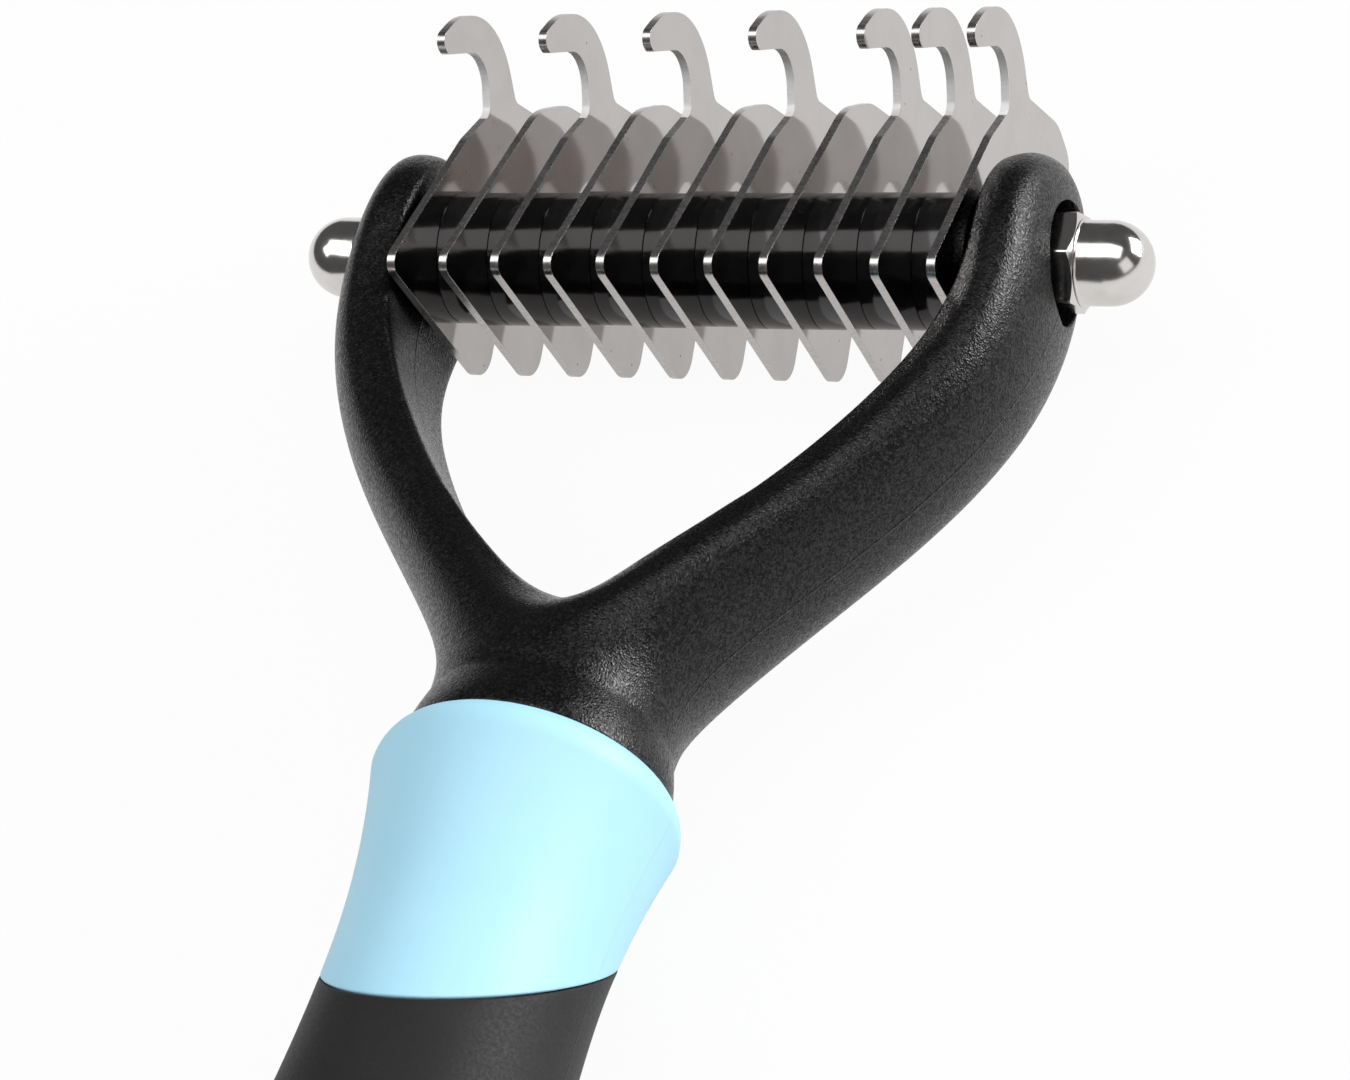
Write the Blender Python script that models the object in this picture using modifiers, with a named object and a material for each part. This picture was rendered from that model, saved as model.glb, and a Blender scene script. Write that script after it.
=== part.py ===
"""Dematting comb: a forked handle that carries a row of steel blades on a threaded axle.

Lengths are in metres. +X runs along the axle, +Y from the handle to the head, +Z is up, and the teeth
point up. The comb lies on its back, with the origin under its middle, on the surface it lies on.
"""
import math

import bmesh
import bpy
from mathutils import Matrix, Vector

OBJECT_NAME = "dematting_comb"

# Blade row
BLADE_PITCH = 0.005
BLADE_THICKNESS = 0.00075
ROW_PATTERN = "hshshshshhh"        # h: blade with a hook, s: short blade, from -X to +X
STACK_GAP = 0.0001                 # between a blade, the spacers and the bosses beside it

# Axle, spacers and nuts
AXLE_RADIUS = 0.00245
AXLE_END_CHAMFER = 0.0004
FIT_GAP = 0.0001                   # around the axle and around the tang
SPACER_RADIUS = 0.006
NUT_FLATS = 0.008
NUT_HEX_HEIGHT = 0.004
NUT_HEIGHT = 0.010
NUT_DOME_RADIUS = 0.0037
NUT_CHAMFER = 0.0005
NUT_THREAD_DEPTH = 0.0065

# Fork
BOSS_RADIUS = 0.0063
ARM_WALL = 0.00458                 # from the boss face to the seat of the nut
RECESS_RADIUS = 0.0054
RECESS_DEPTH = 0.0029
ARM_HALF_THICKNESS = 0.0035
ARM_LOBE_RADIUS = 0.0098           # half the depth of the arm's end, around the axle
INNER_CORNER = 0.82                # how far in the corners of the inner side stand, in half thicknesses
INNER_EDGE_CREASE = 0.45           # sharpness of the edges of the arm's flat inner side
RIDGE_CREASE = 0.85                # the same on the upper ridges that run down into the crotch
CROTCH_DROP = 0.0400               # from the axle down to the bottom of the fork's opening
CROTCH_RISE = 0.0022               # the middle of the bottom of the opening is this much higher
CROTCH_TOP = (0.0050, 0.0057)      # upper edge of the crotch: below its bottom, above the axle
CROTCH_BACK = (0.0033, -0.0061)    # lower edge of the crotch
NECK_HIGH = 0.0495                 # from the axle to the upper end of the neck
NECK_LOW = 0.0528                  # from the axle to the lower end of the neck
NECK_RADIUS = 0.0105
LIP_RADIUS = 0.01135               # flared lip between the neck and the collar
LIP_EDGE = 0.0007                  # height of the lip's edge above the collar
LIP_TOP = 0.0016
TANG_RADIUS = 0.007
TANG_END = 0.126                   # from the axle

# Handle
COLLAR_START = 0.0575              # from the axle to the upper rim of the collar
COLLAR_RIM_RADIUS = 0.0113
COLLAR_BULGE_RADIUS = 0.0129
COLLAR_BULGE_DROP = 0.0026         # from the rim down to the widest ring
SPLIT_MIDDLE = 0.0755              # from the axle to the middle of the slanted joint of the two grips
SPLIT_SLOPE = 0.85
SPLIT_GAP = 0.0001
WAIST_POSITION = 0.0775
WAIST_RADIUS = 0.0108
SWELL_POSITION = 0.116
SWELL_RADIUS = 0.0129
HANDLE_END = 0.150                 # from the axle to the butt
BUTT_RADIUS = 0.0096               # where the rounding of the butt starts
BUTT_ROUNDING = 0.006
TAB_LENGTH = 0.016                 # flattened end with the hang hole
TAB_HALF_THICKNESS = 0.0055
HANG_HOLE_RADIUS = 0.0032
HANG_HOLE_INSET = 0.0085           # from the butt to the middle of the hole

# Blade outlines around the axle: corners as (towards the head, up, rounding radius)
FRONT_CORNER = (-0.0109, 0.0112, 0.0013)
BACK_OUTLINE = (
    FRONT_CORNER,
    (-0.0056, -0.0115, 0.0029),    # tongue
    (0.0163, -0.0039, 0.0042),     # hollow of the back
    (0.0179, -0.0130, 0.0020),     # back of the shoulder
    (0.0230, -0.0117, 0.0026),
    (0.0227, -0.0062, 0.0060),     # top of the shoulder
)
HOOK_OUTLINE = (
    (0.0182, 0.0017, 0.0013),      # notch between the shoulder and the stem
    (0.0214, 0.0097, 0.0086),      # outside of the hook
    (0.0155, 0.0156, 0.0084),
    (0.0108, 0.0172, 0.0010),      # tip
    (0.0111, 0.0150, 0.0010),
    (0.0172, 0.0093, 0.0036),      # gullet
    (0.0134, 0.0050, 0.0013),      # foot of the stem
    (0.0083, 0.0070, 0.0060),
)
SHORT_OUTLINE = (
    (0.0183, 0.0012, 0.0080),
    (0.0137, 0.0052, 0.0085),
)

BLADE_COUNT = len(ROW_PATTERN)
SPACER_LENGTH = BLADE_PITCH - BLADE_THICKNESS - 2 * STACK_GAP
STACK_HALF = (BLADE_COUNT - 1) / 2 * BLADE_PITCH + BLADE_THICKNESS / 2
BOSS_FACE = STACK_HALF + STACK_GAP
NUT_SEAT = BOSS_FACE + ARM_WALL
ARM_OUTER = NUT_SEAT + RECESS_DEPTH
ARM_CENTRE = ARM_OUTER - ARM_HALF_THICKNESS
NUT_FACE = NUT_SEAT + STACK_GAP
BLADE_REACH = max(corner[0] for corner in BACK_OUTLINE)
BLADE_BACK = -min(corner[1] + corner[2] / 2 for corner in BACK_OUTLINE)
AXLE_Y = (HANDLE_END - BLADE_REACH) / 2
AXLE_Z = max(SWELL_RADIUS, COLLAR_BULGE_RADIUS, BLADE_BACK)
AXLE_POINT = Vector((0.0, AXLE_Y, AXLE_Z))

ROUND_STEPS = 32
HOLE_SIDES = 20
ARC_STEP = math.radians(15)
RIM_POINTS = 5
COLLAR_POINTS = 11
GRIP_POINTS = 26
BUTT_POINTS = 6
DOME_POINTS = 6
CUTTER_SIZE = 0.1
OVERCUT = 0.01


def clear_scene():
    for thing in list(bpy.data.objects):
        bpy.data.objects.remove(thing, do_unlink=True)


def make_collection(name):
    group = bpy.data.collections.new(name)
    bpy.context.scene.collection.children.link(group)
    return group


def make_material(name, colour, roughness, metallic):
    material = bpy.data.materials.new(name)
    material.use_nodes = True
    shader = material.node_tree.nodes["Principled BSDF"]
    shader.inputs["Base Color"].default_value = (*colour, 1.0)
    shader.inputs["Roughness"].default_value = roughness
    shader.inputs["Metallic"].default_value = metallic
    return material


def add_object(name, mesh, group, material=None, location=AXLE_POINT):
    thing = bpy.data.objects.new(name, mesh)
    thing.location = location
    if material:
        mesh.materials.append(material)
    group.objects.link(thing)
    return thing


def smooth(mesh, degrees=35):
    mesh.shade_smooth()
    mesh.set_sharp_from_angle(angle=math.radians(degrees))


def evaluated_mesh(thing, name):
    """The object's shape with its modifiers, caps welded, as a mesh in the object's own frame."""
    bpy.context.view_layer.update()
    source = thing.evaluated_get(bpy.context.evaluated_depsgraph_get())
    mesh = bpy.data.meshes.new_from_object(source)
    mesh.name = name
    work = bmesh.new()
    work.from_mesh(mesh)
    bmesh.ops.remove_doubles(work, verts=work.verts, dist=1e-7)
    bmesh.ops.recalc_face_normals(work, faces=work.faces)
    work.to_mesh(mesh)
    work.free()
    return mesh


def turned(name, profile, axis, group, material=None, steps=ROUND_STEPS):
    """A solid of revolution from (radius, position along axis) points, listed from the high end down."""
    mesh = bpy.data.meshes.new(name)
    points = [(radius, 0.0, position) for radius, position in profile]
    edges = [(index, index + 1) for index in range(len(points) - 1)]
    if min(profile[0][0], profile[-1][0]) > 0:
        edges.append((len(points) - 1, 0))
    mesh.from_pydata(points, edges, [])
    thing = add_object(name, mesh, group, material)
    if axis == "Y":
        thing.rotation_euler = (-math.pi / 2, 0.0, 0.0)
    if axis == "X":
        thing.rotation_euler = (0.0, math.pi / 2, 0.0)
    screw = thing.modifiers.new("turn", "SCREW")
    screw.steps = steps
    screw.render_steps = steps
    screw.use_merge_vertices = True
    screw.merge_threshold = 1e-6
    screw.use_normal_calculate = True
    solid = evaluated_mesh(thing, name + "_solid")
    turn = thing.matrix_world.to_3x3().to_4x4()
    solid.transform(turn)
    bpy.data.objects.remove(thing, do_unlink=True)
    if material and not solid.materials:
        solid.materials.append(material)
    smooth(solid)
    result = bpy.data.objects.new(name, solid)
    result.location = AXLE_POINT
    group.objects.link(result)
    return result


def cut_with(thing, cutter, operation="DIFFERENCE"):
    cutter.hide_render = True
    cutter.display_type = "WIRE"
    boolean = thing.modifiers.new(operation.lower(), "BOOLEAN")
    boolean.operation = operation
    boolean.solver = "EXACT"
    boolean.object = cutter


def rod(name, radius, start, end, axis, group, centre=(0.0, 0.0, 0.0), sides=ROUND_STEPS):
    """A plain cylinder along X or Z, from start to end measured from the axle's middle."""
    work = bmesh.new()
    bmesh.ops.create_cone(work, cap_ends=True, segments=sides, radius1=radius, radius2=radius,
                          depth=end - start)
    shift = Matrix.Translation((0.0, 0.0, (start + end) / 2))
    turn = Matrix.Rotation(math.pi / 2, 4, "Y") if axis == "X" else Matrix.Identity(4)
    bmesh.ops.transform(work, matrix=Matrix.Translation(centre) @ turn @ shift, verts=work.verts)
    mesh = bpy.data.meshes.new(name)
    work.to_mesh(mesh)
    work.free()
    return add_object(name, mesh, group)


def box(name, low, high, group):
    work = bmesh.new()
    bmesh.ops.create_cube(work, size=1.0)
    size = Vector(high) - Vector(low)
    middle = (Vector(high) + Vector(low)) / 2
    scale = Matrix.Diagonal((*size, 1.0))
    bmesh.ops.transform(work, matrix=Matrix.Translation(middle) @ scale, verts=work.verts)
    mesh = bpy.data.meshes.new(name)
    work.to_mesh(mesh)
    work.free()
    return add_object(name, mesh, group)


def slanted_block(name, shift, towards_head, group):
    """A large block on one side of the slanted joint plane, moved along the handle by shift."""
    size = CUTTER_SIZE
    low = 0.0 if towards_head else -size
    block = box(name, (-size, low, -size), (size, low + size, size), group)
    tilt = math.atan(SPLIT_SLOPE)
    block.location = AXLE_POINT + Vector((0.0, -SPLIT_MIDDLE + shift, 0.0))
    block.rotation_euler = (tilt, 0.0, 0.0)
    return block


def handle_radius(position):
    """The handle's outer radius at a distance from the axle, as a smooth run through its named rings."""
    rings = (
        (COLLAR_START, COLLAR_RIM_RADIUS),
        (COLLAR_START + COLLAR_BULGE_DROP, COLLAR_BULGE_RADIUS),
        (WAIST_POSITION, WAIST_RADIUS),
        (SWELL_POSITION, SWELL_RADIUS),
        (HANDLE_END - BUTT_ROUNDING, BUTT_RADIUS),
    )
    for (start, first), (end, last) in zip(rings, rings[1:]):
        if position <= end:
            share = max(0.0, (position - start) / (end - start))
            ease = (1 - math.cos(math.pi * share)) / 2
            if start == COLLAR_START:
                ease = math.sqrt(1 - (1 - share) ** 2)
            if end == WAIST_POSITION:
                ease = 1 - (1 - share) ** 2
            if end == HANDLE_END - BUTT_ROUNDING:
                ease = share ** 2
            return first + (last - first) * ease
    share = (position - rings[-1][0]) / BUTT_ROUNDING
    return BUTT_RADIUS - BUTT_ROUNDING * (1 - math.sqrt(max(0.0, 1 - share ** 2)))


def handle_run(start, end, count):
    """(radius, position) points of the handle's outside, from the head end to the butt end."""
    positions = [start + (end - start) * index / (count - 1) for index in range(count)]
    return [(handle_radius(position), -position) for position in positions]


def make_collar(parts, cutters, material):
    end = SPLIT_MIDDLE + SPLIT_SLOPE * COLLAR_BULGE_RADIUS
    bore = TANG_RADIUS + FIT_GAP
    rise = COLLAR_START + COLLAR_BULGE_DROP
    profile = [(bore, -COLLAR_START)]
    profile += handle_run(COLLAR_START, rise, RIM_POINTS)[:-1]
    profile += handle_run(rise, end, COLLAR_POINTS)
    profile.append((bore, -end))
    collar = turned("collar_grip", profile, "Y", parts, material)
    cut_with(collar, slanted_block("collar_rear_cut", SPLIT_GAP, False, cutters))
    return collar


def make_rear_grip(parts, cutters, material):
    start = SPLIT_MIDDLE - SPLIT_SLOPE * COLLAR_BULGE_RADIUS
    bore = TANG_RADIUS + FIT_GAP
    rounding = HANDLE_END - BUTT_ROUNDING
    profile = [(bore, -start)]
    profile += handle_run(start, rounding, GRIP_POINTS)[:-1]
    profile += handle_run(rounding, HANDLE_END, BUTT_POINTS)
    profile.append((0.0, -HANDLE_END))
    profile.append((0.0, -TANG_END - FIT_GAP))
    profile.append((bore, -TANG_END - FIT_GAP))
    grip = turned("rear_grip", profile, "Y", parts, material)
    cut_with(grip, slanted_block("grip_front_cut", 0.0, True, cutters))
    tab_start = -HANDLE_END + TAB_LENGTH
    past = SWELL_RADIUS * 2
    for side, low, high in (("top", TAB_HALF_THICKNESS, past), ("bottom", -past, -TAB_HALF_THICKNESS)):
        land = box(f"tab_{side}_cut", (-past, -HANDLE_END - past, low), (past, tab_start, high), cutters)
        cut_with(grip, land)
    hole_place = (0.0, -HANDLE_END + HANG_HOLE_INSET, 0.0)
    cut_with(grip, rod("hang_hole_cut", HANG_HOLE_RADIUS, -past, past, "Z", cutters, hole_place))
    return grip


def arm_section(ridge):
    """Corners of an arm's section as shares of its half thickness (outwards) and half depth (up).

    ridge is how far in the upper inner corner stands."""
    root = math.sqrt(0.5)
    outside = ((0.0, 1.0), (root, root), (1.0, 0.0), (root, -root), (0.0, -1.0))
    inside = ((-INNER_CORNER, -0.84), (-0.74, 0.0), (-ridge, 0.84))
    return outside + inside


def arm_stations():
    """Sections of one arm from the neck to its end: middle, outward, half thickness, half depth, ridge."""
    lobe = ARM_LOBE_RADIUS
    half = ARM_HALF_THICKNESS
    inner = INNER_CORNER
    return (
        ((ARM_CENTRE * 0.305, -CROTCH_DROP * 1.050), (0.70, -0.72), half * 1.26, lobe * 0.88, inner * 0.80),
        ((ARM_CENTRE * 0.530, -CROTCH_DROP * 0.862), (0.66, -0.75), half * 1.07, lobe * 0.80, inner * 0.80),
        ((ARM_CENTRE * 0.795, -CROTCH_DROP * 0.615), (0.86, -0.51), half * 1.10, lobe * 0.77, inner * 0.94),
        ((ARM_CENTRE * 0.972, -CROTCH_DROP * 0.365), (0.96, -0.28), half * 1.02, lobe * 0.80, inner),
        ((ARM_CENTRE * 1.010, -CROTCH_DROP * 0.150), (0.995, -0.10), half, lobe * 0.90, inner),
        ((ARM_CENTRE, 0.0), (1.0, 0.0), half, lobe, inner),
        ((ARM_CENTRE, lobe * 0.60), (1.0, 0.0), half * 0.93, lobe * 0.80, inner),
        ((ARM_CENTRE, lobe * 0.96), (1.0, 0.0), half * 0.60, lobe * 0.34, inner),
    )


def make_arm_cage(group):
    """Half of the fork as a coarse cage that is open at the middle plane, mirrored and subdivided."""
    swell = 3 / (2 + math.cos(math.pi / 4))     # a cage ring stands out from its smooth surface by this
    work = bmesh.new()

    def half_ring(radius, position):
        turns = [index * math.pi / 4 for index in range(5)]
        return [work.verts.new((radius * swell * math.sin(turn), position, radius * swell * math.cos(turn)))
                for turn in turns]

    def full_ring(middle, outward, thickness, depth, ridge):
        direction = Vector((*outward, 0.0)).normalized()
        outwards = direction * thickness * swell
        return [work.verts.new(Vector((*middle, depth * swell * up)) + outwards * across)
                for across, up in arm_section(ridge)]

    def skin(lower, upper):
        count = len(lower)
        pairs = range(count) if count == 8 else range(count - 1)
        for index in pairs:
            after = (index + 1) % count
            work.faces.new((lower[index], lower[after], upper[after], upper[index]))

    neck_rings = (
        half_ring(LIP_RADIUS, -COLLAR_START + STACK_GAP + LIP_EDGE),
        half_ring(LIP_RADIUS, -COLLAR_START + STACK_GAP + LIP_TOP),
        half_ring(NECK_RADIUS, -NECK_LOW),
        half_ring(NECK_RADIUS, -NECK_HIGH),
    )
    for lower, upper in zip(neck_rings, neck_rings[1:]):
        skin(lower, upper)
    top = neck_rings[-1]
    crotch = [work.verts.new((0.0, -CROTCH_DROP - sag, height)) for sag, height in
              (CROTCH_BACK, (-CROTCH_RISE, 0.0), CROTCH_TOP)]
    rings = [top + crotch]
    rings += [full_ring(*station) for station in arm_stations()]
    crease = work.edges.layers.float.new("crease_edge")
    sharpness = [RIDGE_CREASE, RIDGE_CREASE] + [INNER_EDGE_CREASE] * len(rings)
    for lower, upper, amount in zip(rings, rings[1:], sharpness):
        skin(lower, upper)
        work.edges.get((lower[5], upper[5]))[crease] = INNER_EDGE_CREASE
        work.edges.get((lower[7], upper[7]))[crease] = amount
    end = rings[-1]
    for corners in ((7, 0, 1, 2), (7, 2, 3, 6), (6, 3, 4, 5)):
        work.faces.new([end[index] for index in corners])
    bottom = neck_rings[0]
    hub = work.verts.new((0.0, bottom[0].co.y, 0.0))
    for first, second in ((0, 1), (2, 3)):
        work.faces.new((hub, bottom[first + 2], bottom[second], bottom[first]))
    bmesh.ops.recalc_face_normals(work, faces=work.faces)
    mesh = bpy.data.meshes.new("fork_cage")
    work.to_mesh(mesh)
    work.free()
    cage = add_object("fork_cage", mesh, group)
    mirror = cage.modifiers.new("mirror", "MIRROR")
    mirror.merge_threshold = 1e-5
    mirror.use_clip = True
    soft = cage.modifiers.new("soft", "SUBSURF")
    soft.levels = 2
    soft.render_levels = 2
    return cage


def make_fork(parts, cutters, material):
    cage = make_arm_cage(parts)
    mesh = evaluated_mesh(cage, "fork_frame")
    bpy.data.objects.remove(cage, do_unlink=True)
    mesh.materials.append(material)
    smooth(mesh)
    fork = add_object("fork_frame", mesh, parts)
    tang_top = -NECK_LOW
    tang_profile = [(0.0, tang_top), (TANG_RADIUS, tang_top), (TANG_RADIUS, -TANG_END), (0.0, -TANG_END)]
    cut_with(fork, turned("tang_union", tang_profile, "Y", cutters), "UNION")
    for side in (-1, 1):
        name = "right" if side > 0 else "left"
        ends = sorted((side * BOSS_FACE, side * ARM_CENTRE))
        cut_with(fork, rod(f"{name}_boss_union", BOSS_RADIUS, *ends, "X", cutters), "UNION")
        ends = sorted((side * NUT_SEAT, side * (ARM_OUTER + OVERCUT)))
        cut_with(fork, rod(f"{name}_recess_cut", RECESS_RADIUS, *ends, "X", cutters))
    reach = ARM_OUTER + OVERCUT
    cut_with(fork, rod("axle_bore_cut", AXLE_RADIUS + FIT_GAP, -reach, reach, "X", cutters))
    return fork


def make_axle(parts, material):
    end = NUT_FACE + NUT_THREAD_DEPTH - FIT_GAP
    core = AXLE_RADIUS - AXLE_END_CHAMFER
    profile = [
        (0.0, end),
        (core, end),
        (AXLE_RADIUS, end - AXLE_END_CHAMFER),
        (AXLE_RADIUS, -end + AXLE_END_CHAMFER),
        (core, -end),
        (0.0, -end),
    ]
    return turned("axle_rod", profile, "X", parts, material)


def make_nut(name, side, parts, cutters, material):
    """A cap nut: a turned blank with chamfered ends and a dome, trimmed by a hexagonal prism."""
    corner = NUT_FLATS / math.sqrt(3)
    chamfered = NUT_FLATS / 2 - NUT_CHAMFER / 2
    bore = AXLE_RADIUS + FIT_GAP
    dome_base = NUT_HEX_HEIGHT
    straight = NUT_HEIGHT - NUT_DOME_RADIUS
    profile = [(0.0, NUT_HEIGHT)]
    for index in range(1, DOME_POINTS + 1):
        turn = index / DOME_POINTS * math.pi / 2
        profile.append((NUT_DOME_RADIUS * math.sin(turn), straight + NUT_DOME_RADIUS * math.cos(turn)))
    profile += [
        (NUT_DOME_RADIUS, dome_base),
        (chamfered, dome_base),
        (corner, dome_base - NUT_CHAMFER),
        (corner, NUT_CHAMFER),
        (chamfered, 0.0),
        (bore, 0.0),
        (bore, NUT_THREAD_DEPTH),
        (0.0, NUT_THREAD_DEPTH),
    ]
    nut = turned(name, profile, "X", parts, material)
    if side < 0:
        nut.data.transform(Matrix.Rotation(math.pi, 4, "Z"))
    nut.location = AXLE_POINT + Vector((side * NUT_FACE, 0.0, 0.0))
    ends = sorted((-side * NUT_HEIGHT, side * 2 * NUT_HEIGHT))
    prism = rod(name + "_hexagon", corner, *ends, "X", cutters, sides=6)
    prism.location = nut.location
    cut_with(nut, prism, "INTERSECT")
    return nut


def rounded(corners):
    """Points of a closed outline whose corners, (along, up, radius), are rounded by arcs."""
    points = []
    for index, (along, up, radius) in enumerate(corners):
        corner = Vector((along, up))
        before = (Vector(corners[index - 1][:2]) - corner).normalized()
        after = (Vector(corners[(index + 1) % len(corners)][:2]) - corner).normalized()
        half = before.angle(after) / 2
        centre = corner + (before + after).normalized() * (radius / math.sin(half))
        start = corner + before * (radius / math.tan(half)) - centre
        sweep = start.angle_signed(corner + after * (radius / math.tan(half)) - centre)
        count = max(2, math.ceil(abs(sweep) / ARC_STEP))
        for step in range(count + 1):
            turn = Matrix.Rotation(-sweep * step / count, 2)
            points.append(centre + turn @ start)
    return points


def add_outline(curve, points):
    spline = curve.splines.new("POLY")
    spline.points.add(len(points) - 1)
    spline.use_cyclic_u = True
    for place, (along, up) in zip(spline.points, points):
        place.co = (along, up, 0.0, 1.0)


def blade_mesh(name, points, hole_radius, thickness, group):
    """A flat blade: its outline and its hole for the axle, filled and extruded along X."""
    curve = bpy.data.curves.new(name, "CURVE")
    curve.dimensions = "2D"
    curve.fill_mode = "BOTH"
    curve.extrude = thickness / 2
    add_outline(curve, points)
    turns = [index * math.tau / HOLE_SIDES for index in range(HOLE_SIDES)]
    add_outline(curve, [(hole_radius * math.cos(turn), hole_radius * math.sin(turn)) for turn in turns])
    thing = bpy.data.objects.new(name, curve)
    group.objects.link(thing)
    mesh = evaluated_mesh(thing, name)
    bpy.data.objects.remove(thing, do_unlink=True)
    turn = Matrix(((0.0, 0.0, 1.0, 0.0), (1.0, 0.0, 0.0, 0.0), (0.0, 1.0, 0.0, 0.0), (0.0, 0.0, 0.0, 1.0)))
    mesh.transform(turn)
    return mesh


def make_blades(parts, material):
    hole = AXLE_RADIUS + FIT_GAP
    shapes = {
        "h": ("hooked_blade", rounded(BACK_OUTLINE + HOOK_OUTLINE)),
        "s": ("short_blade", rounded(BACK_OUTLINE + SHORT_OUTLINE)),
    }
    for index, kind in enumerate(ROW_PATTERN):
        word, outline = shapes[kind]
        name = f"{word}_{index + 1:02d}"
        mesh = blade_mesh(name, outline, hole, BLADE_THICKNESS, parts)
        place = (index - (BLADE_COUNT - 1) / 2) * BLADE_PITCH
        add_object(name, mesh, parts, material, AXLE_POINT + Vector((place, 0.0, 0.0)))


def make_spacers(parts, material):
    bore = AXLE_RADIUS + FIT_GAP
    half = SPACER_LENGTH / 2
    profile = [(bore, half), (SPACER_RADIUS, half), (SPACER_RADIUS, -half), (bore, -half)]
    for index in range(BLADE_COUNT - 1):
        spacer = turned(f"spacer_{index + 1:02d}", profile, "X", parts, material)
        place = (index - (BLADE_COUNT - 2) / 2) * BLADE_PITCH
        spacer.location = AXLE_POINT + Vector((place, 0.0, 0.0))


def main():
    clear_scene()
    parts = make_collection(OBJECT_NAME)
    cutters = make_collection("cutters")
    black_plastic = make_material("black_plastic", (0.018, 0.018, 0.02), 0.45, 0.0)
    blue_grip = make_material("blue_grip", (0.30, 0.68, 1.0), 0.5, 0.0)
    black_rubber = make_material("black_rubber", (0.02, 0.02, 0.022), 0.7, 0.0)
    gloss_black = make_material("gloss_black", (0.008, 0.008, 0.009), 0.15, 0.0)
    steel = make_material("polished_steel", (0.62, 0.60, 0.58), 0.12, 1.0)
    chrome = make_material("chrome", (0.80, 0.79, 0.78), 0.06, 1.0)
    make_fork(parts, cutters, black_plastic)
    make_collar(parts, cutters, blue_grip)
    make_rear_grip(parts, cutters, black_rubber)
    make_axle(parts, steel)
    make_nut("cap_nut_left", -1, parts, cutters, chrome)
    make_nut("cap_nut_right", 1, parts, cutters, chrome)
    make_blades(parts, steel)
    make_spacers(parts, gloss_black)


main()
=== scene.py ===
import math

import bmesh
import bpy
from mathutils import Matrix, Vector


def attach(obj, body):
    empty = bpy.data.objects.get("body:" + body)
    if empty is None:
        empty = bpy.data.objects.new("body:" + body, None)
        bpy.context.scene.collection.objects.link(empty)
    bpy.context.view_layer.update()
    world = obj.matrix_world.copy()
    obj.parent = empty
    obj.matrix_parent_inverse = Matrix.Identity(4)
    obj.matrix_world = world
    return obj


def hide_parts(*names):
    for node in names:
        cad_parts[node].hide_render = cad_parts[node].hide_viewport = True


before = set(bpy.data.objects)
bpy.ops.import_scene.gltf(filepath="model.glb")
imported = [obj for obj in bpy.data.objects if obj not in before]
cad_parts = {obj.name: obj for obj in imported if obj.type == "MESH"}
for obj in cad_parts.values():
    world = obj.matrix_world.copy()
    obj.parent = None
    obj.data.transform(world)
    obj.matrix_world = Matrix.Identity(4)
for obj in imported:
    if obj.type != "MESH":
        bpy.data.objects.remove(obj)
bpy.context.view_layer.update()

# Sizes of the model in metres, measured from the middle of the axle
AXLE = Vector((0.0, 0.0635, 0.0129))
BLADE_PITCH = 0.005
BLADE_THICKNESS = 0.00075
BLADE_EDGE = 0.00032
BLADE_TRIM = 0.9995     # share of the solid's outline that keeps the finer arcs inside it
ROW_PATTERN = "hshshshshhh"
HOLE_RADIUS = 0.00255
SPACER_RADIUS = 0.006
SPACER_HALF = 0.00211
SPACER_EDGE = 0.00006
NUT_FLATS = 0.008
NUT_HEX_HEIGHT = 0.004
NUT_HEIGHT = 0.010
NUT_DOME_RADIUS = 0.0037
NUT_CHAMFER = 0.0005
NUT_FACE = 0.030155
NUT_FILLET = 0.00025
NUT_CORNER_ROUNDING = 0.00022
NUT_THREAD_DEPTH = 0.0065
BOSS_FACE = 0.025475
BOSS_RADIUS = 0.0063
BOSS_EDGE = 0.0003
NUT_SEAT = 0.030055
RECESS_RADIUS = 0.0054
RECESS_FLARE = 0.0006
RECESS_RIM_DROP = 0.00015
OVERCUT = 0.01
ARM_OUTER = 0.032955
ARM_CENTRE = 0.029455
ARM_HALF = 0.0035
ARM_LOBE = 0.0098
CROTCH_DROP = 0.0400
COLLAR_START = 0.0575
COLLAR_RIM_RADIUS = 0.0113
COLLAR_BULGE_RADIUS = 0.0129
COLLAR_BULGE_DROP = 0.0026
SPLIT_MIDDLE = 0.0755
SPLIT_SLOPE = 0.85
WAIST_POSITION = 0.0775
WAIST_RADIUS = 0.0108
SWELL_POSITION = 0.116
SWELL_RADIUS = 0.0129
HANDLE_END = 0.14999    # a hair short of the solid's end
BUTT_RADIUS = 0.0096
BUTT_ROUNDING = 0.006
TAB_LENGTH = 0.016
TAB_HALF = 0.0055
HANG_HOLE_RADIUS = 0.0032
HANG_HOLE_INSET = 0.0085
BORE_RADIUS = 0.0071
BORE_END = 0.1261
TANG_RADIUS = 0.007
TANG_START = 0.0505
TANG_END = 0.126
COLLAR_GAP = 0.00002
SPLIT_GAP = 0.00005
SPLIT_EDGE = 0.00022
FLOOR_DROP = 0.0002

# The arms' inner side: how far in its corners stand, in half thicknesses, and how sharp they are
INNER_CORNER = 0.82
INNER_EDGE_CREASE = 0.45
RIDGE_CREASE = 0.85

# The bottom of the fork's opening: rise of its middle, then sag and height of its upper and lower edges
CROTCH_RISE = 0.0022
CROTCH_TOP = (0.0050, 0.0057)
CROTCH_BACK = (0.0033, -0.0061)

# The neck and the lip at its lower end, with the sharpness of the line above the lip and of its edge
NECK_HIGH = 0.0495
NECK_LOW = 0.0528
NECK_RADIUS = 0.0105
LIP_RADIUS = 0.01135
LIP_START = 0.0558
LIP_END = 0.0574
LIP_CREASE = 0.8
NECK_CREASE = 0.6

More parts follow.
